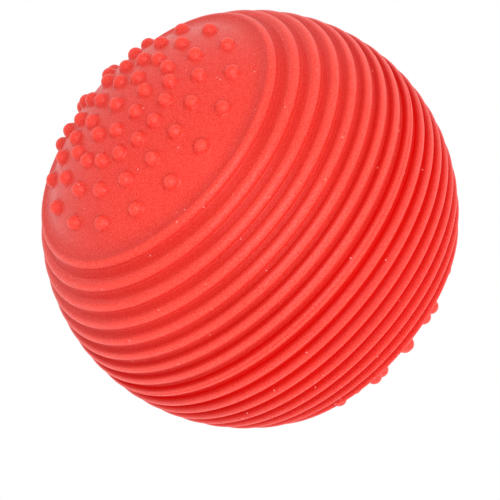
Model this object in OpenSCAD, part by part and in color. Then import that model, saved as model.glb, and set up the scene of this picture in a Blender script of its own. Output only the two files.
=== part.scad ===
// Sensory ball: a soft hollow ball with a ribbed band and a nubbed cap at each end
// The ball's axis is +Z, through the middle of both caps, and the origin is the ball's centre

/* [Ball] */
// Diameter over the rib on the seam, the widest part of the ball
ball_d = 90; // [84:1:110]
// Distance from the axis to the centre of the round of the rib crests, which flattens the ball a little
band_offset = 1.7; // [0:0.1:3]
// Thickness of the skin under the floors of the caps
skin_t = 2.8; // [2:0.1:3.5]

/* [Ribbed band] */
// Axial distance from one rib to the next
rib_pitch = 3.77; // [3.4:0.01:4.1]
// Axial distance from the rib on the seam to the ribs beside it
seam_rib_pitch = 4.17; // [3.8:0.01:4.8]
// Ribs on each side of the seam
rib_count = 8; // [6:1:8]
// Width of a rib at its foot, below its round crest
rib_w = 2.97; // [2.5:0.01:3.1]
// Width of the rib on the seam at its foot
seam_rib_w = 3.12; // [2.6:0.01:3.4]
// Height of the ribs above the valleys between them
rib_h = 0.95; // [0.6:0.05:1.2]

/* [Caps and nubs] */
// Depth of the cap floors below a ball of the full diameter
cap_depth = 2.2; // [1.8:0.05:2.6]
// Radius of the cove between a cap floor and the last rib
cove_r = 4.7; // [3.5:0.1:5.5]
// Diameter of a nub, which stands half its diameter high
nub_d = 3.45; // [2.4:0.05:4]
// Nubs in each of the outer rings of a cap
nub_count = 16; // [12:2:16]

/* [Seam] */
// Angle that the lower shell is turned against the upper one, in degrees
lower_turn = -7.7; // [-11:0.1:11]
// Height of the lip that locates the lower shell in the upper one
lip_h = 3; // [2:0.5:4]
// Depth of the fine groove along the seam
seam_groove_depth = 0.15; // [0.1:0.05:0.3]

/* [Valve] */
// Outside diameter of the valve sleeve
sleeve_d = 9; // [8:0.1:9.6]
// Length of the sleeve from its mouth to its inner end
sleeve_len = 11; // [9:0.5:14]
// Diameter of the flange at the sleeve's inner end
flange_d = 13; // [11:0.5:16]
// Thickness of that flange
flange_t = 1.6; // [1:0.1:2.5]
// Wall of the boss round the sleeve
boss_wall = 2.5; // [1.5:0.1:4]
// Bore of the sleeve, which takes the plug or the nozzle of a pump
bore_d = 4.4; // [3.6:0.1:5]
// Diameter of the plug's head
head_d = 7; // [6.2:0.1:7.2]
// Thickness of the plug's head at its rim
head_t = 1.2; // [0.8:0.1:1.6]
// Depth of the recess that the head sits in
head_recess = 0.9; // [0.5:0.1:1.2]
// Height of the dome on the plug's head
head_dome = 0.5; // [0.3:0.1:0.7]
// Length of the plug's shank under its head
shank_len = 9; // [7:0.5:10]
// Depth of the grooves that leave sealing rings on the shank
ring_groove_depth = 0.25; // [0.15:0.05:0.4]
// Sealing rings on the shank
ring_count = 3; // [2:1:4]
// Gap all round between the plug and the sleeve
plug_gap = 0.05; // [0.03:0.01:0.1]

/* [Hidden] */
$fn = 128;
skin_colour = [0.91, 0.24, 0.21];
valve_colour = [0.78, 0.15, 0.13];

// How far a cut runs past the face that it opens
overrun = 1;

ball_r = ball_d / 2;
floor_r = ball_r - cap_depth;
cavity_r = floor_r - skin_t;

function polar(r, latitude) = [r * cos(latitude), r * sin(latitude)];
// Radius of an arc, from its width and its height
function arc_r(width, height) = (pow(width / 2, 2) + pow(height, 2)) / (2 * height);

rib_r = arc_r(rib_w, rib_h);
seam_rib_r = arc_r(seam_rib_w, rib_h);

// Ribs stand at equal steps along the axis, on a round whose centre lies beside the axis
band_centre = [band_offset, 0];
band_round_r = ball_r - band_offset;
function rib_height(i) = seam_rib_pitch + (i - 1) * rib_pitch;
function rib_centre(i) = band_centre + polar(band_round_r - rib_r, asin(rib_height(i) / band_round_r));
last_rib = rib_centre(rib_count);
last_rib_r = norm(last_rib);
last_latitude = atan2(last_rib[1], last_rib[0]);

// The cove touches the cap floor and the last rib, which gives the angle between their centres
cove_centre_r = floor_r + cove_r;
cove_angle = acos(
    (pow(cove_centre_r, 2) + pow(last_rib_r, 2) - pow(cove_r + rib_r, 2))
    / (2 * cove_centre_r * last_rib_r)
);
cap_edge_latitude = last_latitude + cove_angle;

// Rings of nubs, as shares of the angle from the pole to the edge of the cap floor
ring_shares = [0.238, 0.434, 0.641, 0.871];
ring_counts = [nub_count / 2, nub_count, nub_count, nub_count];
half_step = 180 / nub_count;

// The two shells share the wall at the seam: the lip is its inner half
lip_r = (cavity_r + ball_r - rib_h) / 2;

// Places along the lower pole, as distances from the ball's centre
sleeve_r = sleeve_d / 2;
mouth_at = sqrt(pow(floor_r, 2) - pow(sleeve_r, 2));
sleeve_end_at = mouth_at - sleeve_len;
flange_seat_at = sleeve_end_at + flange_t;
head_seat_at = mouth_at - head_recess;
shank_end_at = head_seat_at - shank_len;

bore_r = bore_d / 2;
head_r = head_d / 2;
shank_r = bore_r - plug_gap;
// The fingernail notch is cut into the sleeve's rim beside the head
notch_share = 0.85;
notch_r = notch_share * (sleeve_r - head_r - plug_gap);
// The dome is part of a ball that passes through the rim of the head
dome_r = arc_r(head_d, head_dome);
ring_step = shank_len / (ring_count + 1);
ring_groove_w = ring_step / 2;

// Outline of one half of the skin's outside, in the quarter plane above the seam
module half_outline(with_pole_nub) {
    difference() {
        intersection() {
            square(ball_r + overrun);
            union() {
                circle(r = floor_r);
                band_outline();
                cove_outline();
                rib_outlines();
                if (with_pole_nub) translate([0, floor_r]) circle(d = nub_d);
            }
        }
        seam_groove_outline();
    }
}

// Valley floor of the band, from the seam to the last rib
module band_outline() {
    reach = ball_r + overrun;
    intersection() {
        translate(band_centre) circle(r = band_round_r - rib_h);
        polygon([[0, 0], [reach, 0], [reach, reach * tan(last_latitude)]]);
    }
}

// Hollow curve that leads from the cap floor up to the last rib
module cove_outline() {
    cove_centre = polar(cove_centre_r, cap_edge_latitude);
    difference() {
        polygon([[0, 0], last_rib, cove_centre]);
        translate(cove_centre) circle(r = cove_r);
    }
}

// The ribs of one half, with the half of the seam rib that it carries
module rib_outlines() {
    translate([ball_r - seam_rib_r, 0]) circle(r = seam_rib_r);
    for (i = [1 : rib_count]) {
        translate(rib_centre(i)) circle(r = rib_r);
    }
}

// One side of the fine groove where the two shells meet
module seam_groove_outline() {
    reach = seam_groove_depth + overrun;
    polygon([[ball_r - seam_groove_depth, 0], [ball_r + overrun, 0], [ball_r + overrun, reach]]);
}

// Rings of nubs on the upper cap
module nub_rings() {
    for (ring = [0 : len(ring_shares) - 1], i = [0 : ring_counts[ring] - 1]) {
        from_pole = ring_shares[ring] * (90 - cap_edge_latitude);
        rotate([0, from_pole, half_step + i * 360 / ring_counts[ring]])
            translate([0, 0, floor_r]) sphere(d = nub_d, $fn = 32);
    }
}

// The nubs stand on the cap floor and don't reach into the air space
module outer_nubs() {
    difference() {
        nub_rings();
        sphere(r = (cavity_r + floor_r) / 2);
    }
}

module upper_shell() {
    color(skin_colour) {
        rotate_extrude() difference() {
            half_outline(with_pole_nub = true);
            circle(r = cavity_r);
            square([lip_r, lip_h]);
        }
        outer_nubs();
    }
}

module lower_shell() {
    boss_r = sleeve_r + boss_wall;
    color(skin_colour) difference() {
        union() {
            rotate_extrude() difference() {
                union() {
                    mirror([0, 1]) half_outline(with_pole_nub = false);
                    translate([0, -lip_h]) square([lip_r, 2 * lip_h]);
                }
                circle(r = cavity_r);
            }
            mirror([0, 0, 1]) rotate(lower_turn) outer_nubs();
            translate([0, 0, -cavity_r]) cylinder(r = boss_r, h = cavity_r - flange_seat_at);
        }
        translate([0, 0, -floor_r - overrun]) cylinder(r = sleeve_r, h = floor_r);
    }
}

// The sleeve and the plug are drawn with their mouth upwards and turned over onto the lower pole
module valve_sleeve() {
    notch_at = [head_r + plug_gap, 0, mouth_at];
    color(valve_colour) mirror([0, 0, 1]) difference() {
        rotate_extrude() difference() {
            union() {
                translate([0, sleeve_end_at]) square([sleeve_r, sleeve_len]);
                translate([0, sleeve_end_at]) square([flange_d / 2, flange_t]);
            }
            translate([0, sleeve_end_at - overrun]) square([bore_r, sleeve_len + overrun]);
            translate([0, head_seat_at]) square([head_r + plug_gap, head_recess + overrun]);
        }
        translate(notch_at) sphere(r = notch_r);
    }
}

module valve_plug() {
    head_top_at = head_seat_at + head_t;
    color(valve_colour) mirror([0, 0, 1]) rotate_extrude() difference() {
        union() {
            translate([0, shank_end_at + shank_r]) square([shank_r, shank_len - shank_r]);
            translate([0, shank_end_at + shank_r]) intersection() {
                circle(r = shank_r);
                translate([0, -shank_r]) square([shank_r, 2 * shank_r]);
            }
            translate([0, head_seat_at]) square([head_r, head_t]);
            intersection() {
                translate([0, head_top_at + head_dome - dome_r]) circle(r = dome_r);
                translate([0, head_seat_at]) square([head_r, head_t + head_dome]);
            }
        }
        for (i = [1 : ring_count]) {
            translate([shank_r - ring_groove_depth, head_seat_at - i * ring_step])
                square([ring_groove_depth + overrun, ring_groove_w]);
        }
    }
}

upper_shell();
lower_shell();
valve_sleeve();
valve_plug();
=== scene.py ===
import bpy
from math import acos, asin, atan2, cos, hypot, pi, radians, sin, sqrt
from mathutils import Matrix, Vector


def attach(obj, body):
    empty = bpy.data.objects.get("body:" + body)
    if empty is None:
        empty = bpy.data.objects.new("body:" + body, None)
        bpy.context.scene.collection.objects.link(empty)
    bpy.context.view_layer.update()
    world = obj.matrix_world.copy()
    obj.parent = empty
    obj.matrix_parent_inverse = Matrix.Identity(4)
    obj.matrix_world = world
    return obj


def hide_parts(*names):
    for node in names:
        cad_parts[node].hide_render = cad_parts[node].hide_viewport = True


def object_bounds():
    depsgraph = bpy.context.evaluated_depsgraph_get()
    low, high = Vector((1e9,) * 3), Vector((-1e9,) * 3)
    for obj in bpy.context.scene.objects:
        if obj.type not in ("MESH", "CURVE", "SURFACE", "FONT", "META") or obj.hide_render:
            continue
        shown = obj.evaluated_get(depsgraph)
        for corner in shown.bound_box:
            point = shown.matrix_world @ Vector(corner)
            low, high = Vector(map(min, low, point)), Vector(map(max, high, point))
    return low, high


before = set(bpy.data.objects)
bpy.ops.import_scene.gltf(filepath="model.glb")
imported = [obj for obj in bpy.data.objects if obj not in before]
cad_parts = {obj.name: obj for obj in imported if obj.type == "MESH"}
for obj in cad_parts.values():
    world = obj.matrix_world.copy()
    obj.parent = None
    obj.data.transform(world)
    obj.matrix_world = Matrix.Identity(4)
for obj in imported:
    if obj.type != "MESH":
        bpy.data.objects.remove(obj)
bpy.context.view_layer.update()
print("frame loaded:", sorted(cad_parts))

# sizes of the ball, in metres and degrees; the ball's axis is Z and its centre is the origin
ball = {
    "diameter": 0.090,          # over the rib on the seam
    "bandOffset": 0.0017,       # the round of the rib crests is centred this far from the axis
    "capDepth": 0.0022,         # cap floors lie this far below the full diameter
    "skin": 0.0028,             # thickness under the cap floors
}

band = {
    "ribsPerSide": 8,
    "ribPitch": 0.00377,        # along the axis
    "seamRibPitch": 0.00417,    # from the seam rib to the ribs beside it
    "ribWidth": 0.00297,        # at the foot
    "seamRibWidth": 0.00312,
    "ribHeight": 0.00095,       # crests above the valleys
    "footRound": 0.00018,       # where a rib grows out of the valley
    "coveRadius": 0.0047,       # between the last rib and the cap floor
}

nubs = {
    "diameter": 0.00345,        # a nub stands half its diameter high
    "perRing": 16,
    "innerShare": 0.5,          # of the nubs in a ring, for the innermost ring
    "ringShares": (0.238, 0.434, 0.641, 0.871),   # of the angle from the pole to the cap's edge
    "footRound": 0.00045,
    "lowerTurn": -7.7,          # degrees that the lower shell is turned against the upper one
}

seam = {
    "lipHeight": 0.0030,
    "grooveDepth": 0.00015,     # fine line round the middle of the seam rib
}

# how finely the pieces are divided
facets = {
    "columns": 352,             # round the axis, a multiple of the nubs in a ring
    "bunching": 0.45,           # 0 spaces the columns evenly, towards 1 gathers them at the nubs
    "ribSide": 5,               # from a foot of a rib to its crest
    "foot": 2,                  # round where a rib leaves the valley
    "valley": 4,
    "cove": 8,
    "acrossNub": 16,
    "betweenNubs": 3,
    "cavity": 14,
    "valveColumns": 96,
    "notchColumns": 48,
    "notchRows": 24,
    "rounding": 3,
    "dome": 8,
    "weld": 1e-6,               # metres
    "sharpAngle": 42,           # edges that turn more than this are kept sharp
}

# tones of painted shade and painted highlight that the skin's colour follows, from the painted shade of
# the deepest crease to the painted highlight on the crests
paintedShadeTones = {
    "crease": 0.0,
    "groove": 0.9,              # of the fine line round the seam
    "valley": 0.25,
    "cove": 0.5,
    "floor": 0.6,
    "nubFoot": 0.5,
    "crest": 1.0,
}

# painted shade and painted highlight of the valleys and of both sides of the ribs, each beside the seam
# and beside the cap;
# one side of each rib is painted lighter than the other and the lower shell darker than the upper, as
# light falls on them;
# pole is the side of a rib towards its cap and seam the side towards the middle of the ball,
# and the steeper a side, the nearer to the crest it keeps the tone of its foot
upperShadePainting = {
    "valley": (0.20, 0.38),
    "crest": (0.86, 0.97),
    "poleFoot": (0.0, 0.68),
    "poleSteepness": (3.0, 10.0),
    "seamFoot": (0.42, 0.44),
    "seamSteepness": (2.2, 4.4),
}
lowerShadePainting = {
    "valley": (0.12, 0.0),
    "crest": (0.62, 0.52),
    "poleFoot": (1.0, 1.0),
    "poleSteepness": (6.0, 6.0),
    "seamFoot": (0.0, 0.16),
    "seamSteepness": (1.6, 1.6),
}


def arcRadius(width, height):
    # radius of an arc that is so wide and so high
    return ((width / 2) ** 2 + height ** 2) / (2 * height)


# values that follow from the sizes
ballR = ball["diameter"] / 2
floorR = ballR - ball["capDepth"]
cavityR = floorR - ball["skin"]
bandR = ballR - ball["bandOffset"]
bandMiddle = (ball["bandOffset"], 0.0)
ribR = arcRadius(band["ribWidth"], band["ribHeight"])
seamRibR = arcRadius(band["seamRibWidth"], band["ribHeight"])
valleyR = bandR - band["ribHeight"]
lipR = (cavityR + ballR - band["ribHeight"]) / 2
nubR = nubs["diameter"] / 2
nubTilt = asin(nubs["footRound"] / (nubR + nubs["footRound"]))
nubReach = (nubR + nubs["footRound"]) * cos(nubTilt)


def polar(radius, angle, centre=(0.0, 0.0)):
    return (centre[0] + radius * cos(angle), centre[1] + radius * sin(angle))


def bearing(start, end):
    return atan2(end[1] - start[1], end[0] - start[0])


def spread(start, end, steps):
    # values after start up to end
    return [start + (end - start) * i / steps for i in range(1, steps + 1)]


def arc(centre, radius, start, end, steps):
    # points after the start of the arc up to its end, the short way round
    turn = (end - start + pi) % (2 * pi) - pi
    return [polar(radius, start + turn * i / steps, centre) for i in range(1, steps + 1)]


def toned(points, tone):
    # gives each point its tone, from a list or the same for all
    values = tone if isinstance(tone, list) else [tone] * len(points)
    return [(x, z, value) for (x, z), value in zip(points, values)]


def ribCentre(index):
    height = band["seamRibPitch"] + (index - 1) * band["ribPitch"]
    return polar(bandR - ribR, asin(height / bandR), bandMiddle)


# the cove touches the cap floor and the last rib
lastRib = ribCentre(band["ribsPerSide"])
coveCentreR = floorR + band["coveRadius"]
coveAngle = acos(
    (coveCentreR ** 2 + hypot(*lastRib) ** 2 - (band["coveRadius"] + ribR) ** 2)
    / (2 * coveCentreR * hypot(*lastRib))
)
capEdge = pi / 2 - atan2(lastRib[1], lastRib[0]) - coveAngle
coveCentre = polar(coveCentreR, pi / 2 - capEdge)
ringAngles = [share * capEdge for share in nubs["ringShares"]]


def filletPath(corners):
    # points along straight lines between the corners, each (x, z, round)
    points = []
    for index, (x, z, rounding) in enumerate(corners):
        here = Vector((x, z))
        if rounding == 0 or index in (0, len(corners) - 1):
            points.append((x, z))
            continue
        back = (Vector(corners[index - 1][:2]) - here).normalized()
        ahead = (Vector(corners[index + 1][:2]) - here).normalized()
        half = acos(max(-1.0, min(1.0, back.dot(ahead)))) / 2
        centre = here + (back + ahead).normalized() * rounding / sin(half)
        reach = rounding * cos(half) / sin(half)
        start, end = here + back * reach, here + ahead * reach
        bearings = bearing(centre, start), bearing(centre, end)
        points.append(tuple(start))
        points += arc(tuple(centre), rounding, *bearings, facets["rounding"])
    return points


def floorRows(firstAngle, withPoleNub):
    # angles from the pole, gathered where the nubs stand
    reach = nubReach / floorR
    angles = [firstAngle]
    if withPoleNub:
        angles += spread(firstAngle, reach, facets["acrossNub"] // 2)
    for ringAngle in ringAngles:
        angles += spread(angles[-1], ringAngle - reach, facets["betweenNubs"])
        angles += spread(ringAngle - reach, ringAngle + reach, facets["acrossNub"])
    return angles + spread(angles[-1], capEdge, facets["betweenNubs"])


def footRounds(centre, radius):
    # bearings about the band's middle of the rounds at both feet of a rib
    away = hypot(centre[0] - bandMiddle[0], centre[1])
    reach = valleyR + band["footRound"]
    swing = acos((reach ** 2 + away ** 2 - (radius + band["footRound"]) ** 2) / (2 * reach * away))
    return [bearing(bandMiddle, centre) + side * swing for side in (1, -1)]


def bandTone(atSeamAndCap, point):
    # the painted shade and painted highlight of the band change evenly from the seam to the caps
    atSeam, atCap = atSeamAndCap
    return atSeam + (atCap - atSeam) * max(0.0, point[1]) / lastRib[1]


def ribSide(points, footTone, shellShadePainting, side):
    # one side of a rib, from the painted shade of its foot to the painted highlight of its crest
    crestTone = bandTone(shellShadePainting["crest"], points[0])
    steepness = bandTone(shellShadePainting[side + "Steepness"], points[0])
    shares = [(hypot(x - bandMiddle[0], z) - valleyR) / band["ribHeight"] for x, z in points]
    climbs = [max(0.0, min(1.0, share)) ** steepness for share in shares]
    return toned(points, [footTone + (crestTone - footTone) * climb for climb in climbs])


def ribPoints(centre, radius, shellShadePainting, fromCove, toSeam):
    # one rib on the way from the cap to the seam, without the valley that follows it
    foot, steps = band["footRound"], facets["ribSide"]
    upper, lower = footRounds(centre, radius)
    upperFoot = polar(valleyR + foot, upper, bandMiddle)
    lowerFoot = polar(valleyR + foot, lower, bandMiddle)
    if fromCove:
        rise, start, poleTone = [], bearing(centre, coveCentre), paintedShadeTones["cove"]
    else:
        start, poleTone = bearing(centre, upperFoot), bandTone(shellShadePainting["poleFoot"], upperFoot)
        rise = toned(arc(upperFoot, foot, upper + pi, start + pi, facets["foot"]), poleTone)
    if toSeam:
        # the groove's side slopes at 45 degrees
        edge = acos((radius - seam["grooveDepth"]) / (radius * sqrt(2))) - pi / 4
        half = arc(centre, radius, start, edge, steps)
        return rise + ribSide(half, poleTone, shellShadePainting, "pole")
    end, middle = bearing(centre, lowerFoot), bearing(bandMiddle, centre)
    near = arc(centre, radius, start, middle, steps)
    far = arc(centre, radius, middle, end, steps)
    fall = arc(lowerFoot, foot, end + pi, lower + pi, facets["foot"])
    seamTone = bandTone(shellShadePainting["seamFoot"], lowerFoot)
    sides = ribSide(near, poleTone, shellShadePainting, "pole") + ribSide(far, seamTone, shellShadePainting, "seam")
    return rise + sides + toned(fall, seamTone)


def outsidePoints(firstAngle, withPoleNub, shellShadePainting):
    # outside of one shell, from near the pole to the seam
    cap = [polar(floorR, pi / 2 - angle) for angle in floorRows(firstAngle, withPoleNub)]
    cove = arc(
        coveCentre, band["coveRadius"],
        bearing(coveCentre, (0.0, 0.0)), bearing(coveCentre, lastRib), facets["cove"]
    )
    points = toned(cap, paintedShadeTones["floor"]) + toned(cove, spread(paintedShadeTones["floor"], paintedShadeTones["cove"], len(cove)))
    seamRib = (ballR - seamRibR, 0.0)
    ribs = [(ribCentre(i), ribR) for i in range(band["ribsPerSide"], 0, -1)] + [(seamRib, seamRibR)]
    for index, (centre, radius) in enumerate(ribs):
        last = index == len(ribs) - 1
        points += ribPoints(centre, radius, shellShadePainting, index == 0, last)
        if not last:
            start = footRounds(centre, radius)[1]
            end = footRounds(*ribs[index + 1])[0]
            valley = arc(bandMiddle, valleyR, start, end, facets["valley"])
            points += toned(valley, bandTone(shellShadePainting["valley"], valley[0]))
    return points + [(ballR - seam["grooveDepth"], 0.0, paintedShadeTones["groove"])]


def upperProfile():
    lipHeight = seam["lipHeight"]
    inside = [(lipR, 0.0), (lipR, lipHeight), (sqrt(cavityR ** 2 - lipHeight ** 2), lipHeight)]
    inside += arc((0, 0), cavityR, asin(lipHeight / cavityR), pi / 2, facets["cavity"])
    return outsidePoints(0.0, True, upperShadePainting) + toned(inside, paintedShadeTones["floor"])


# valve at the lower pole: a sleeve in the skin and a plug that pulls out of it
valve = {
    "sleeveDiameter": 0.0090,
    "sleeveLength": 0.0110,
    "flangeDiameter": 0.0130,
    "flangeThickness": 0.0016,
    "bossWall": 0.0025,
    "bore": 0.0044,
    "headDiameter": 0.0070,
    "headThickness": 0.0012,
    "headRecess": 0.0009,
    "headDome": 0.0005,
    "shankLength": 0.0090,
    "ringGroove": 0.00025,
    "rings": 3,
    "gap": 0.00005,             # between the plug and the sleeve
    "notchShare": 0.85,         # of the rim's width
    "edgeRound": 0.00015,
    "rimRound": 0.00030,        # on the flange and on the top of the head
}

# places along the lower pole, as distances from the ball's centre
sleeveR = valve["sleeveDiameter"] / 2
mouthAt = sqrt(floorR ** 2 - sleeveR ** 2)
sleeveEndAt = mouthAt - valve["sleeveLength"]
flangeSeatAt = sleeveEndAt + valve["flangeThickness"]
headSeatAt = mouthAt - valve["headRecess"]
headTopAt = headSeatAt + valve["headThickness"]
headR = valve["headDiameter"] / 2
recessR = headR + valve["gap"]
boreR = valve["bore"] / 2
shankR = boreR - valve["gap"]


def lowerProfile():
    # drawn with the pole upwards, as the upper shell, and turned over by the tree
    edge, lipHeight = valve["edgeRound"], seam["lipHeight"]
    bossR = sleeveR + valve["bossWall"]
    holeAngle = asin((sleeveR + edge) / floorR)
    rim = arc((sleeveR + edge, mouthAt - edge), edge, pi, pi / 2, facets["rounding"])
    hole = [(sleeveR, flangeSeatAt), (sleeveR, mouthAt - edge)] + rim[:-1]
    inside = [(lipR, 0.0), (lipR, -lipHeight), (sqrt(cavityR ** 2 - lipHeight ** 2), -lipHeight)]
    bossTop = atan2(sqrt(cavityR ** 2 - bossR ** 2), bossR)
    inside += arc((0, 0), cavityR, -asin(lipHeight / cavityR), bossTop, facets["cavity"])
    inside += [(bossR, flangeSeatAt), (sleeveR, flangeSeatAt)]
    outside = outsidePoints(holeAngle, False, lowerShadePainting)
    return toned(hole, paintedShadeTones["floor"]) + outside + toned(inside, paintedShadeTones["floor"])


def sleeveProfile():
    edge, rim = valve["edgeRound"], valve["rimRound"]
    flangeR = valve["flangeDiameter"] / 2
    return toned(filletPath([
        (boreR, sleeveEndAt, 0),
        (flangeR, sleeveEndAt, rim),
        (flangeR, flangeSeatAt, rim),
        (sleeveR, flangeSeatAt, 0),
        (sleeveR, mouthAt, edge),
        (recessR, mouthAt, edge),
        (recessR, headSeatAt, 0),
        (boreR, headSeatAt, edge),
        (boreR, sleeveEndAt, 0),
    ]), paintedShadeTones["floor"])


def plugProfile():
    edge, rim = valve["edgeRound"], valve["rimRound"]
    domeR = arcRadius(valve["headDiameter"], valve["headDome"])
    domeTop = headTopAt + valve["headDome"]
    rimAngle = acos((headR - rim) / domeR)
    dome = [(0.0, domeTop)] + arc((0.0, domeTop - domeR), domeR, pi / 2, rimAngle, facets["dome"])
    corners = [
        (*dome[-1], 0),
        (headR, headTopAt, rim),
        (headR, headSeatAt, edge),
        (shankR, headSeatAt, 0),
    ]
    # grooves as wide as the rings that they leave between them
    step = valve["shankLength"] / (valve["rings"] + 1)
    grooveR = shankR - valve["ringGroove"]
    for index in range(1, valve["rings"] + 1):
        low = headSeatAt - index * step
        high = low + step / 2
        corners += [(shankR, high, edge), (grooveR, high, 0), (grooveR, low, 0), (shankR, low, edge)]
    tipAt = headSeatAt - valve["shankLength"] + shankR
    corners += [(shankR, tipAt, 0)]
    tip = arc((0.0, tipAt), shankR, 0.0, -pi / 2, facets["dome"])
    return toned(dome[:-1] + filletPath(corners) + tip, paintedShadeTones["floor"])


# helpers for node trees, whose nodes are laid out in rows
nodeGrid = {"perRow": 10, "width": 220, "height": 300}

# places of the two values and of the result among the sockets of a Mix node
mixSockets = {"FLOAT": (2, 3, 0), "RGBA": (6, 7, 2)}


def feed(tree, socket, value):
    if isinstance(value, bpy.types.NodeSocket):
        tree.links.new(value, socket)
    else:
        socket.default_value = value


def addNode(tree, kind, values=None, **settings):
    row, column = divmod(len(tree.nodes), nodeGrid["perRow"])
    node = tree.nodes.new(kind)
    node.location = (column * nodeGrid["width"], -row * nodeGrid["height"])
    for name, value in settings.items():
        setattr(node, name, value)
    for name, value in (values or {}).items():
        feed(tree, node.inputs[name], value)
    return node


def maths(tree, operation, first, second=0.0, third=0.0):
    values = {0: first, 1: second, 2: third}
    return addNode(tree, "ShaderNodeMath", values, operation=operation).outputs[0]


def vectors(tree, operation, first, second=(0, 0, 0), scale=1.0):
    # socket 3 is the scale
    node = addNode(tree, "ShaderNodeVectorMath", {0: first, 1: second, 3: scale}, operation=operation)
    return node.outputs["Value" if operation in ("LENGTH", "DOT_PRODUCT") else "Vector"]


def mix(tree, kind, factor, first, second):
    firstAt, secondAt, resultAt = mixSockets[kind]
    values = {0: factor, firstAt: first, secondAt: second}
    return addNode(tree, "ShaderNodeMix", values, data_type=kind).outputs[resultAt]


def combine(tree, z, x=0.0, y=0.0):
    # a vector, along the ball's axis unless x and y are given
    return addNode(tree, "ShaderNodeCombineXYZ", {"X": x, "Y": y, "Z": z}).outputs[0]


def newTree(name, kind, inputs, outputs):
    tree = bpy.data.node_groups.new(name, kind)
    for socketName, socketKind in inputs:
        tree.interface.new_socket(socketName, in_out="INPUT", socket_type=socketKind)
    for socketName, socketKind in outputs:
        tree.interface.new_socket(socketName, in_out="OUTPUT", socket_type=socketKind)
    return tree, addNode(tree, "NodeGroupInput").outputs, addNode(tree, "NodeGroupOutput").inputs


floatKind, intKind, boolKind = "NodeSocketFloat", "NodeSocketInt", "NodeSocketBool"
vectorKind, geometryKind, materialKind = "NodeSocketVector", "NodeSocketGeometry", "NodeSocketMaterial"
ringNames = [f"Ring {i + 1} angle" for i in range(len(ringAngles))]


def makeLatheTree():
    # turns a profile, a row of points in the XZ plane, round the Z axis
    tree, given, result = newTree("latheProfile", "GeometryNodeTree", [
        ("Profile", geometryKind), ("Columns", intKind), ("Repeats", intKind),
        ("Bunching", floatKind), ("Turn", floatKind), ("Side", floatKind),
    ], [("Mesh", geometryKind)])
    size = addNode(tree, "GeometryNodeAttributeDomainSize", {
        "Geometry": given["Profile"],
    }, component="MESH")
    rows = size.outputs["Point Count"]
    grid = addNode(tree, "GeometryNodeMeshGrid", {
        "Vertices X": maths(tree, "ADD", given["Columns"], 1.0), "Vertices Y": rows,
    })
    index = addNode(tree, "GeometryNodeInputIndex").outputs[0]
    column = maths(tree, "FLOOR", maths(tree, "DIVIDE", index, rows))
    row = maths(tree, "SUBTRACT", index, maths(tree, "MULTIPLY", column, rows))
    position = addNode(tree, "GeometryNodeInputPosition").outputs[0]
    point = addNode(tree, "GeometryNodeSampleIndex", {
        "Geometry": given["Profile"], "Value": position, "Index": row,
    }, data_type="FLOAT_VECTOR", domain="POINT")
    # the crest attribute is a tone of painted shade and painted highlight
    profileTone = addNode(tree, "GeometryNodeInputNamedAttribute", {"Name": "crest"}, data_type="FLOAT")
    tone = addNode(tree, "GeometryNodeSampleIndex", {
        "Geometry": given["Profile"], "Value": profileTone.outputs["Attribute"], "Index": row,
    }, data_type="FLOAT", domain="POINT")
    # columns gather at the middle of each repeat
    along = maths(tree, "MULTIPLY", maths(tree, "DIVIDE", column, given["Columns"]), given["Repeats"])
    wave = maths(tree, "SINE", maths(tree, "MULTIPLY", along, 2 * pi))
    pull = maths(tree, "DIVIDE", maths(tree, "MULTIPLY", wave, given["Bunching"]), 2 * pi)
    share = maths(tree, "DIVIDE", maths(tree, "ADD", along, pull), given["Repeats"])
    angle = maths(tree, "MULTIPLY_ADD", share, 2 * pi, given["Turn"])
    turned = addNode(tree, "ShaderNodeVectorRotate", {
        "Vector": point.outputs[0], "Angle": angle,
    }, rotation_type="Z_AXIS")
    upOrDown = combine(tree, given["Side"], x=1.0, y=1.0)
    coloured = addNode(tree, "GeometryNodeStoreNamedAttribute", {
        "Geometry": grid.outputs["Mesh"], "Name": "crest", "Value": tone.outputs[0],
    }, data_type="FLOAT", domain="POINT")
    placed = addNode(tree, "GeometryNodeSetPosition", {
        "Geometry": coloured.outputs[0],
        "Position": vectors(tree, "MULTIPLY", turned.outputs[0], upOrDown),
    })
    # a profile that is turned over shows its inside, so its faces are turned back
    faced = addNode(tree, "GeometryNodeFlipFaces", {
        "Mesh": placed.outputs[0], "Selection": maths(tree, "LESS_THAN", given["Side"], 0.0),
    })
    welded = addNode(tree, "GeometryNodeMergeByDistance", {
        "Geometry": faced.outputs[0], "Distance": facets["weld"],
    })
    feed(tree, result["Mesh"], welded.outputs[0])
    return tree


def finishTree(tree, mesh, material, result):
    # smooth faces with sharp corners, then the material
    smooth = addNode(tree, "GeometryNodeSetShadeSmooth", {"Geometry": mesh}, domain="FACE")
    angle = addNode(tree, "GeometryNodeInputMeshEdgeAngle").outputs["Unsigned Angle"]
    corners = addNode(tree, "GeometryNodeSetShadeSmooth", {
        "Geometry": smooth.outputs[0],
        "Selection": maths(tree, "GREATER_THAN", angle, radians(facets["sharpAngle"])),
        "Shade Smooth": False,
    }, domain="EDGE")
    real = addNode(tree, "GeometryNodeRealizeInstances", {"Geometry": corners.outputs[0]})
    coated = addNode(tree, "GeometryNodeSetMaterial", {"Geometry": real.outputs[0], "Material": material})
    feed(tree, result["Mesh"], coated.outputs[0])


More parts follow.
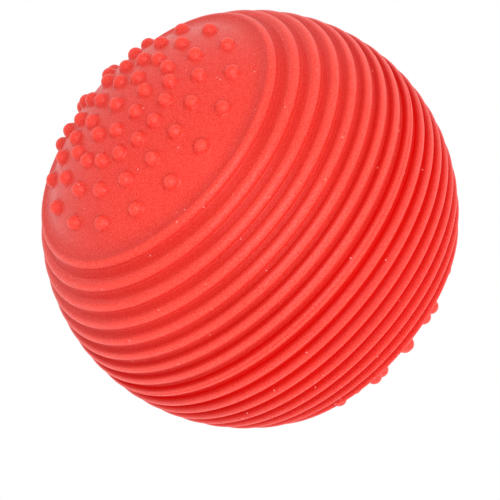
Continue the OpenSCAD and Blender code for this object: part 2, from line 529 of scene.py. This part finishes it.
def addNubMiddles(tree, given):
    # the points of the cap floor that the nubs stand on
    floorRadius, side, count = given["Floor radius"], given["Side"], given["Nubs per ring"]
    halfStep = maths(tree, "DIVIDE", pi, count)
    turn = combine(tree, maths(tree, "ADD", halfStep, given["Turn"]))
    middles = addNode(tree, "GeometryNodeJoinGeometry")
    for index, name in enumerate(ringNames):
        share = nubs["innerShare"] if index == 0 else 1.0
        ring = addNode(tree, "GeometryNodeMeshCircle", {
            "Vertices": maths(tree, "MULTIPLY", count, share),
            "Radius": maths(tree, "MULTIPLY", floorRadius, maths(tree, "SINE", given[name])),
        })
        height = maths(tree, "MULTIPLY", floorRadius, maths(tree, "COSINE", given[name]))
        lift = combine(tree, maths(tree, "MULTIPLY", height, side))
        placed = addNode(tree, "GeometryNodeTransform", {
            "Geometry": ring.outputs[0], "Translation": lift, "Rotation": turn,
        })
        feed(tree, middles.inputs[0], placed.outputs[0])
    poleSpot = combine(tree, maths(tree, "MULTIPLY", floorRadius, side))
    pole = addNode(tree, "GeometryNodeMeshLine", {"Count": 1, "Start Location": poleSpot})
    poleSwitch = addNode(tree, "GeometryNodeSwitch", {
        "Switch": given["Pole nub"], "True": pole.outputs[0],
    }, input_type="GEOMETRY")
    feed(tree, middles.inputs[0], poleSwitch.outputs[0])
    return middles.outputs[0]


def addNubShape(tree, given, middles):
    # where each point of the floor near a nub moves to: onto its dome or the round at its foot
    dome, foot, floorRadius = given["Nub radius"], given["Foot round"], given["Floor radius"]
    position = addNode(tree, "GeometryNodeInputPosition").outputs[0]
    near = addNode(tree, "GeometryNodeProximity", target_element="POINTS")
    feed(tree, near.inputs[0], middles)
    centre = near.outputs["Position"]
    normal = vectors(tree, "NORMALIZE", centre)
    offset = vectors(tree, "SUBTRACT", position, centre)
    rise = vectors(tree, "SCALE", normal, scale=vectors(tree, "DOT_PRODUCT", offset, normal))
    across = vectors(tree, "SUBTRACT", offset, rise)
    distance = vectors(tree, "LENGTH", across)
    outward = vectors(tree, "NORMALIZE", across)

    # how far the point has come on the way down over the dome and the round
    whole = maths(tree, "ADD", dome, foot)
    tilt = maths(tree, "ARCSINE", maths(tree, "DIVIDE", foot, whole))
    reach = maths(tree, "MULTIPLY", whole, maths(tree, "COSINE", tilt))
    sweep = maths(tree, "SUBTRACT", pi / 2, tilt)
    domeLength = maths(tree, "MULTIPLY", dome, sweep)
    pathLength = maths(tree, "MULTIPLY", whole, sweep)
    path = maths(tree, "MULTIPLY", maths(tree, "DIVIDE", distance, reach), pathLength)
    domeAngle = maths(tree, "DIVIDE", path, dome)
    domeOut = maths(tree, "MULTIPLY", dome, maths(tree, "SINE", domeAngle))
    domeUp = maths(tree, "MULTIPLY", dome, maths(tree, "COSINE", domeAngle))
    pastDome = maths(tree, "DIVIDE", maths(tree, "SUBTRACT", path, domeLength), foot)
    footAngle = maths(tree, "ADD", tilt, pastDome)
    footIn = maths(tree, "MULTIPLY", foot, maths(tree, "COSINE", footAngle))
    footDown = maths(tree, "MULTIPLY", foot, maths(tree, "SINE", footAngle))
    onDome = maths(tree, "LESS_THAN", path, domeLength)
    out = mix(tree, "FLOAT", onDome, maths(tree, "SUBTRACT", reach, footIn), domeOut)
    up = mix(tree, "FLOAT", onDome, maths(tree, "SUBTRACT", foot, footDown), domeUp)

    # the floor itself falls away from the middle of the nub
    floorSquare, outSquare = maths(tree, "POWER", floorRadius, 2.0), maths(tree, "POWER", out, 2.0)
    floorHeight = maths(tree, "SQRT", maths(tree, "SUBTRACT", floorSquare, outSquare))
    bow = maths(tree, "SUBTRACT", floorHeight, floorRadius)
    aside = vectors(tree, "SCALE", outward, scale=out)
    lift = vectors(tree, "SCALE", normal, scale=maths(tree, "ADD", up, bow))
    raised = vectors(tree, "ADD", vectors(tree, "ADD", centre, aside), lift)
    onNub = maths(tree, "LESS_THAN", vectors(tree, "LENGTH", offset), reach)

    # painted highlight and painted shade: nubs are painted paler towards their tops and darker at their
    # feet
    paling = maths(tree, "SUBTRACT", paintedShadeTones["crest"], given["Foot tone"])
    tone = maths(tree, "MULTIPLY_ADD", maths(tree, "DIVIDE", up, dome), paling, given["Foot tone"])
    return onNub, raised, tone


def makeShellTree(latheTree):
    # a lathed shell whose cap is drawn up into rings of nubs with rounded feet
    tree, given, result = newTree("nubbedShell", "GeometryNodeTree", [
        ("Profile", geometryKind), ("Columns", intKind), ("Bunching", floatKind), ("Turn", floatKind),
        ("Side", floatKind), ("Floor radius", floatKind), ("Nub radius", floatKind),
        ("Foot round", floatKind), ("Foot tone", floatKind), ("Nubs per ring", intKind),
        ("Pole nub", boolKind), *[(name, floatKind) for name in ringNames], ("Material", materialKind),
    ], [("Mesh", geometryKind)])
    lathe = addNode(tree, "GeometryNodeGroup", node_tree=latheTree)
    for name in ("Profile", "Columns", "Bunching", "Turn", "Side"):
        feed(tree, lathe.inputs[name], given[name])
    feed(tree, lathe.inputs["Repeats"], given["Nubs per ring"])
    onNub, raised, tone = addNubShape(tree, given, addNubMiddles(tree, given))
    coloured = addNode(tree, "GeometryNodeStoreNamedAttribute", {
        "Geometry": lathe.outputs[0], "Selection": onNub, "Name": "crest", "Value": tone,
    }, data_type="FLOAT", domain="POINT")
    shaped = addNode(tree, "GeometryNodeSetPosition", {
        "Geometry": coloured.outputs[0], "Selection": onNub, "Position": raised,
    })
    finishTree(tree, shaped.outputs[0], given["Material"], result)
    return tree


def makeTurnedTree(latheTree):
    # a plain turned piece, with a round notch cut where it has one
    tree, given, result = newTree("turnedPiece", "GeometryNodeTree", [
        ("Profile", geometryKind), ("Columns", intKind), ("Side", floatKind),
        ("Notch radius", floatKind), ("Notch place", vectorKind), ("Material", materialKind),
    ], [("Mesh", geometryKind)])
    lathe = addNode(tree, "GeometryNodeGroup", {"Repeats": 1}, node_tree=latheTree)
    for name in ("Profile", "Columns", "Side"):
        feed(tree, lathe.inputs[name], given[name])
    cutter = addNode(tree, "GeometryNodeMeshUVSphere", {
        "Segments": facets["notchColumns"], "Rings": facets["notchRows"], "Radius": given["Notch radius"],
    })
    placed = addNode(tree, "GeometryNodeTransform", {
        "Geometry": cutter.outputs[0], "Translation": given["Notch place"],
    })
    cut = addNode(tree, "GeometryNodeMeshBoolean", operation="DIFFERENCE", solver="EXACT")
    feed(tree, cut.inputs["Mesh 1"], lathe.outputs[0])
    feed(tree, cut.inputs["Mesh 2"], placed.outputs[0])
    hasNotch = maths(tree, "GREATER_THAN", given["Notch radius"], 0.0)
    chosen = addNode(tree, "GeometryNodeSwitch", {
        "Switch": hasNotch, "False": lathe.outputs[0], "True": cut.outputs[0],
    }, input_type="GEOMETRY")
    finishTree(tree, chosen.outputs[0], given["Material"], result)
    return tree


def makePiece(name, points, tree, values):
    # runs the tree on the profile and keeps the result as a plain mesh
    profile = bpy.data.meshes.new(name + "Profile")
    profile.from_pydata([(x, 0.0, z) for x, z, _ in points], [], [])
    # crest holds each point's tone of painted shade and painted highlight, 0 in the deepest crease and 1
    # on the crests
    crest = profile.attributes.new("crest", "FLOAT", "POINT")
    crest.data.foreach_set("value", [tone for _, _, tone in points])
    piece = bpy.data.objects.new(name, profile)
    bpy.context.scene.collection.objects.link(piece)
    modifier = piece.modifiers.new("shape", "NODES")
    modifier.node_group = tree
    sockets = {item.name: item.identifier for item in tree.interface.items_tree if item.in_out == "INPUT"}
    for inputName, value in values.items():
        modifier[sockets[inputName]] = value
    piece.update_tag()
    depsgraph = bpy.context.evaluated_depsgraph_get()
    mesh = bpy.data.meshes.new_from_object(piece.evaluated_get(depsgraph))
    piece.modifiers.clear()
    piece.data = mesh
    mesh.name = name
    bpy.data.meshes.remove(profile)
    mesh.calc_loop_triangles()
    print(name, len(mesh.loop_triangles), "triangles")
    return piece


# effects that the materials share
grainNoise = {"detail": 2.0, "roughness": 0.6, "low": 0.38, "high": 0.62}


def makeGrainGroup():
    # fine grain of a moulded skin and a slow drift of tone, both about 0 with a spread of about 1
    tree, given, result = newTree("mouldGrain", "ShaderNodeTree", [
        ("Grain size", floatKind), ("Drift size", floatKind),
    ], [("Grain", floatKind), ("Drift", floatKind)])
    place = addNode(tree, "ShaderNodeTexCoord").outputs["Object"]
    for output, size in (("Grain", given["Grain size"]), ("Drift", given["Drift size"])):
        noise = addNode(tree, "ShaderNodeTexNoise", {
            "Vector": place, "Scale": maths(tree, "DIVIDE", 1.0, size),
            "Detail": grainNoise["detail"], "Roughness": grainNoise["roughness"],
        })
        spreadOut = addNode(tree, "ShaderNodeMapRange", {
            "Value": noise.outputs[0], "From Min": grainNoise["low"], "From Max": grainNoise["high"],
            "To Min": -1.0, "To Max": 1.0,
        }, clamp=False)
        feed(tree, result[output], spreadOut.outputs[0])
    return tree


def makeFleckGroup():
    # sparse pale specks of dust and mould powder
    tree, given, result = newTree("paleFlecks", "ShaderNodeTree", [
        ("Spacing", floatKind), ("Radius", floatKind), ("Share", floatKind),
    ], [("Mask", floatKind)])
    place = addNode(tree, "ShaderNodeTexCoord").outputs["Object"]
    cells = addNode(tree, "ShaderNodeTexVoronoi", {
        "Vector": place, "Scale": maths(tree, "DIVIDE", 1.0, given["Spacing"]),
    })
    away = maths(tree, "MULTIPLY", cells.outputs["Distance"], given["Spacing"])
    dot = addNode(tree, "ShaderNodeMapRange", {
        "Value": away, "From Min": given["Radius"], "From Max": 0.0,
    }, interpolation_type="SMOOTHSTEP")
    draw = addNode(tree, "ShaderNodeSeparateColor", {"Color": cells.outputs["Color"]}).outputs[0]
    chosen = maths(tree, "LESS_THAN", draw, given["Share"])
    feed(tree, result["Mask"], maths(tree, "MULTIPLY", dot.outputs[0], chosen))
    return tree


def toneRamp(tree, factor, shadeColours):
    # colours of painted shade and painted highlight, named after their tones
    node = addNode(tree, "ShaderNodeValToRGB", {"Fac": factor})
    elements = node.color_ramp.elements
    elements.remove(elements[1])
    for index, (name, colour) in enumerate(shadeColours.items()):
        element = elements[0] if index == 0 else elements.new(paintedShadeTones[name])
        element.position = paintedShadeTones[name]
        element.color = (*colour, 1.0)
    return node.outputs["Color"]


def addSoftColour(tree, look, crest, grain, flecks):
    # painted shade deep in the creases and painted highlight paler on the crests, with grain, drift and
    # pale flecks
    colour = toneRamp(tree, crest, look["shadeColours"])
    speckle = vectors(tree, "SCALE", look["speckle"], scale=grain["Grain"])
    colour = vectors(tree, "MULTIPLY", colour, vectors(tree, "ADD", speckle, (1.0, 1.0, 1.0)))
    drift = maths(tree, "MULTIPLY_ADD", grain["Drift"], look["drift"], 1.0)
    colour = vectors(tree, "SCALE", colour, scale=drift)
    fleck = maths(tree, "MULTIPLY", flecks["Mask"], look["fleckStrength"])
    return mix(tree, "RGBA", fleck, colour, (*look["fleck"], 1.0))


def makeSoftMaterial(name, look, groups):
    # soft moulded skin with painted shade and a pale glossy coat
    material = bpy.data.materials.new(name)
    material.use_nodes = True
    tree = material.node_tree
    shader = tree.nodes["Principled BSDF"].inputs
    grain = addNode(tree, "ShaderNodeGroup", {
        "Grain size": look["grainSize"], "Drift size": look["driftSize"],
    }, node_tree=groups["grain"]).outputs
    flecks = addNode(tree, "ShaderNodeGroup", {
        "Spacing": look["fleckSpacing"], "Radius": look["fleckRadius"], "Share": look["fleckShare"],
    }, node_tree=groups["flecks"]).outputs
    # the crest attribute is the tone of painted shade and painted highlight
    crest = addNode(tree, "ShaderNodeAttribute", attribute_name="crest").outputs["Fac"]
    feed(tree, shader["Base Color"], addSoftColour(tree, look, crest, grain, flecks))
    rough = maths(tree, "MULTIPLY_ADD", grain["Grain"], look["roughnessSpread"], look["roughness"])
    feed(tree, shader["Roughness"], rough)
    bump = addNode(tree, "ShaderNodeBump", {
        "Height": grain["Grain"], "Strength": look["bump"], "Distance": look["grainDepth"],
    })
    feed(tree, shader["Normal"], bump.outputs[0])
    # the coat reflects only on the open surface and is faded out in the creases, a painted shade that
    # keeps them deep
    coatOutsideCreases = addNode(tree, "ShaderNodeMapRange", {
        "Value": crest, "From Min": paintedShadeTones["crease"], "From Max": paintedShadeTones["floor"], "To Max": look["coat"],
    })
    uneven = maths(tree, "MULTIPLY_ADD", grain["Grain"], look["coatSpread"], 1.0)
    feed(tree, shader["Coat Weight"], maths(tree, "MULTIPLY", coatOutsideCreases.outputs[0], uneven))
    shader["Coat Roughness"].default_value = look["coatRoughness"]
    shader["Coat IOR"].default_value = look["coatIor"]
    shader["Specular IOR Level"].default_value = look["specular"]
    return material


skinLook = {
    # painted shade in the creases and valleys, painted highlight on the crests
    "shadeColours": {
        "crease": (0.51, 0.001, 0.0005),
        "valley": (0.54, 0.007, 0.003),
        "floor": (0.745, 0.037, 0.023),
        "crest": (0.85, 0.052, 0.032),
    },
    "speckle": (0.06, 0.38, 0.42),      # spread of each colour in the grain
    "grainSize": 0.00025,               # metres, as the other sizes here
    "grainDepth": 0.00001,
    "bump": 0.5,
    "driftSize": 0.020,
    "drift": 0.02,                      # spread of the slow change of tone
    "roughness": 0.55,
    "roughnessSpread": 0.04,
    "specular": 0.0,
    "coat": 0.8,                        # a pale glossy coat on the open surface, faded out in the creases as painted shade
    "coatSpread": 0.28,
    "coatRoughness": 0.36,
    "coatIor": 1.45,
    "fleck": (0.95, 0.55, 0.50),
    "fleckSpacing": 0.0015,
    "fleckRadius": 0.00025,
    "fleckShare": 0.07,                 # of the places that a fleck could have
    "fleckStrength": 0.75,
}
sleeveLook = {
    **skinLook, "fleckShare": 0.0, "roughness": 0.48,
    # the darker crease colour is painted shade
    "shadeColours": {"crease": (0.40, 0.006, 0.004), "floor": (0.56, 0.016, 0.012)},
}
plugLook = {
    **skinLook, "fleckShare": 0.0, "roughness": 0.40, "grainDepth": 0.000005,
    # the darker crease colour is painted shade
    "shadeColours": {"crease": (0.36, 0.005, 0.004), "floor": (0.50, 0.014, 0.010)},
}

groups = {"grain": makeGrainGroup(), "flecks": makeFleckGroup()}
skinMaterial = makeSoftMaterial("softRedSkin", skinLook, groups)
sleeveMaterial = makeSoftMaterial("sleeveRubber", sleeveLook, groups)
plugMaterial = makeSoftMaterial("plugPlastic", plugLook, groups)
print("materials made")

latheTree = makeLatheTree()
shellTree = makeShellTree(latheTree)
turnedTree = makeTurnedTree(latheTree)

shellValues = {
    "Columns": facets["columns"],
    "Bunching": facets["bunching"],
    "Floor radius": floorR,
    "Nub radius": nubR,
    "Foot round": nubs["footRound"],
    "Foot tone": paintedShadeTones["nubFoot"],
    "Nubs per ring": nubs["perRing"],
    "Material": skinMaterial,
    **dict(zip(ringNames, ringAngles)),
}
upperSkin = makePiece("upperSkin", upperProfile(), shellTree, {
    **shellValues, "Turn": 0.0, "Side": 1.0, "Pole nub": True,
})
lowerSkin = makePiece("lowerSkin", lowerProfile(), shellTree, {
    **shellValues, "Turn": radians(nubs["lowerTurn"]), "Side": -1.0, "Pole nub": False,
})
# the fingernail notch is cut into the sleeve's rim, beside the plug's head
valveSleeve = makePiece("valveSleeve", sleeveProfile(), turnedTree, {
    "Columns": facets["valveColumns"], "Side": -1.0, "Material": sleeveMaterial,
    "Notch radius": valve["notchShare"] * (sleeveR - headR - valve["gap"]),
    "Notch place": (recessR, 0.0, -mouthAt),
})
valvePlug = makePiece("valvePlug", plugProfile(), turnedTree, {
    "Columns": facets["valveColumns"], "Side": -1.0, "Material": plugMaterial,
    "Notch radius": 0.0, "Notch place": (0.0, 0.0, 0.0),
})

for piece, node, body, slot in (
    (upperSkin, "upper_shell", "ball", "skin"),
    (lowerSkin, "lower_shell", "ball", "skin"),
    (valveSleeve, "valve_sleeve", "ball", "valve_sleeve"),
    (valvePlug, "valve_plug", "plug", "valve_plug"),
):
    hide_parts(node)
    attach(piece, body)
print("pieces ride on their bodies")

# where the picture was taken from
photo = {
    "side": 500,                # pixels
    "ballCentre": (249.9, 219.0),   # pixels from the top left corner
    "ballWidth": 421.8,         # pixels across the seam rib
    "elevation": 30.3,          # degrees that the camera stands above the ball's equator
    "roll": 49.28,              # degrees that the ball's axis leans to the left in the picture
    "distance": 1.80,           # metres from the ball's centre
    "sensor": 36.0,             # millimetres, as the lens
}


def cameraAxes():
    lift, lean = radians(photo["elevation"]), radians(photo["roll"])
    back = Vector((0.0, -cos(lift), sin(lift)))
    level = Vector((1.0, 0.0, 0.0))
    upright = back.cross(level)
    right = level * cos(lean) - upright * sin(lean)
    return right, back.cross(right), back


def makeCamera():
    right, up, back = cameraAxes()
    data = bpy.data.cameras.new("studioCamera")
    camera = bpy.data.objects.new("studioCamera", data)
    bpy.context.scene.collection.objects.link(camera)
    bpy.context.scene.camera = camera
    # the outline of a ball is the cone that touches it
    touching = photo["ballWidth"] / 2 * sqrt((photo["distance"] / ballR) ** 2 - 1)
    data.sensor_width = photo["sensor"]
    data.lens = touching * photo["sensor"] / photo["side"]
    metresPerPixel = photo["distance"] / touching
    middle = photo["side"] / 2
    aim = right * (middle - photo["ballCentre"][0]) + up * (photo["ballCentre"][1] - middle)
    camera.location = back * photo["distance"]
    forward = (aim * metresPerPixel - camera.location).normalized()
    side = (right - forward * right.dot(forward)).normalized()
    turn = Matrix((side, side.cross(forward), -forward)).transposed()
    camera.rotation_euler = turn.to_euler()


# studio: white surroundings, a soft light from the front and a white floor
studio = {
    "white": (1.0, 1.0, 1.0, 1.0),
    "surroundings": 1.0,        # strength that the camera sees
    "skyLight": 0.92,           # strength that lights the ball
    "skyShine": (0.68, 1.12),   # strength that shines in its skin, in front of and behind the ball
    "floorLight": 1.5,          # the same two strengths for the floor
    "floorShine": 1.0,
    "floorSize": 6.0,           # metres
    "keyPower": 11.1,           # watts
    "keySize": 1.6,             # metres across
    "keyPlace": (0.25, 0.05, 1.28),   # metres to the right, up and towards the camera
}


def studioStrength(tree, light, shine):
    # light falls on the ball, shine is mirrored in its skin, and the camera sees plain white
    ray = addNode(tree, "ShaderNodeLightPath").outputs
    unseen = addNode(tree, "ShaderNodeMapRange", {
        "Value": ray["Is Glossy Ray"], "To Min": light, "To Max": shine,
    })
    seen = addNode(tree, "ShaderNodeMapRange", {
        "Value": ray["Is Camera Ray"], "To Min": unseen.outputs[0], "To Max": studio["surroundings"],
    })
    return seen.outputs[0]


def makeSky():
    world = bpy.data.worlds.new("whiteStudio")
    bpy.context.scene.world = world
    world.use_nodes = True
    tree = world.node_tree
    background = tree.nodes["Background"].inputs
    background["Color"].default_value = studio["white"]
    # from -1 in front of the ball to 1 behind it
    towards = addNode(tree, "ShaderNodeTexCoord").outputs["Generated"]
    behind = vectors(tree, "DOT_PRODUCT", towards, (0.0, 1.0, 0.0))
    frontShine, backShine = studio["skyShine"]
    shine = addNode(tree, "ShaderNodeMapRange", {
        "Value": behind, "From Min": -1.0, "To Min": frontShine, "To Max": backShine,
    })
    feed(tree, background["Strength"], studioStrength(tree, studio["skyLight"], shine.outputs[0]))


def makeKeyLight():
    right, up, back = cameraAxes()
    toRight, upwards, forwards = studio["keyPlace"]
    data = bpy.data.lights.new("keyLight", "AREA")
    data.shape = "DISK"
    data.energy = studio["keyPower"]
    data.size = studio["keySize"]
    light = bpy.data.objects.new("keyLight", data)
    bpy.context.scene.collection.objects.link(light)
    light.location = right * toRight + up * upwards + back * forwards
    light.rotation_euler = light.location.to_track_quat("Z", "Y").to_euler()
    light.visible_camera = False


def makeFloorPaint():
    # glows white from above and is clear from below
    paint = bpy.data.materials.new("whiteFloor")
    paint.use_nodes = True
    tree = paint.node_tree
    tree.nodes.remove(tree.nodes["Principled BSDF"])
    strength = studioStrength(tree, studio["floorLight"], studio["floorShine"])
    glow = addNode(tree, "ShaderNodeEmission", {"Color": studio["white"], "Strength": strength})
    clear = addNode(tree, "ShaderNodeBsdfTransparent")
    below = addNode(tree, "ShaderNodeNewGeometry").outputs["Backfacing"]
    either = addNode(tree, "ShaderNodeMixShader", {0: below, 1: glow.outputs[0], 2: clear.outputs[0]})
    feed(tree, tree.nodes["Material Output"].inputs["Surface"], either.outputs[0])
    return paint


def makeFloor():
    # the ball stands on it
    half = studio["floorSize"] / 2
    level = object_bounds()[0].z
    corners = [(x * half, y * half, level) for x, y in ((-1, -1), (1, -1), (1, 1), (-1, 1))]
    mesh = bpy.data.meshes.new("floor")
    mesh.from_pydata(corners, [], [(0, 1, 2, 3)])
    mesh.materials.append(makeFloorPaint())
    floor = bpy.data.objects.new("floor", mesh)
    bpy.context.scene.collection.objects.link(floor)


makeCamera()
makeSky()
makeKeyLight()
makeFloor()
bpy.context.scene.view_settings.view_transform = "Standard"
print("camera, light and floor made")
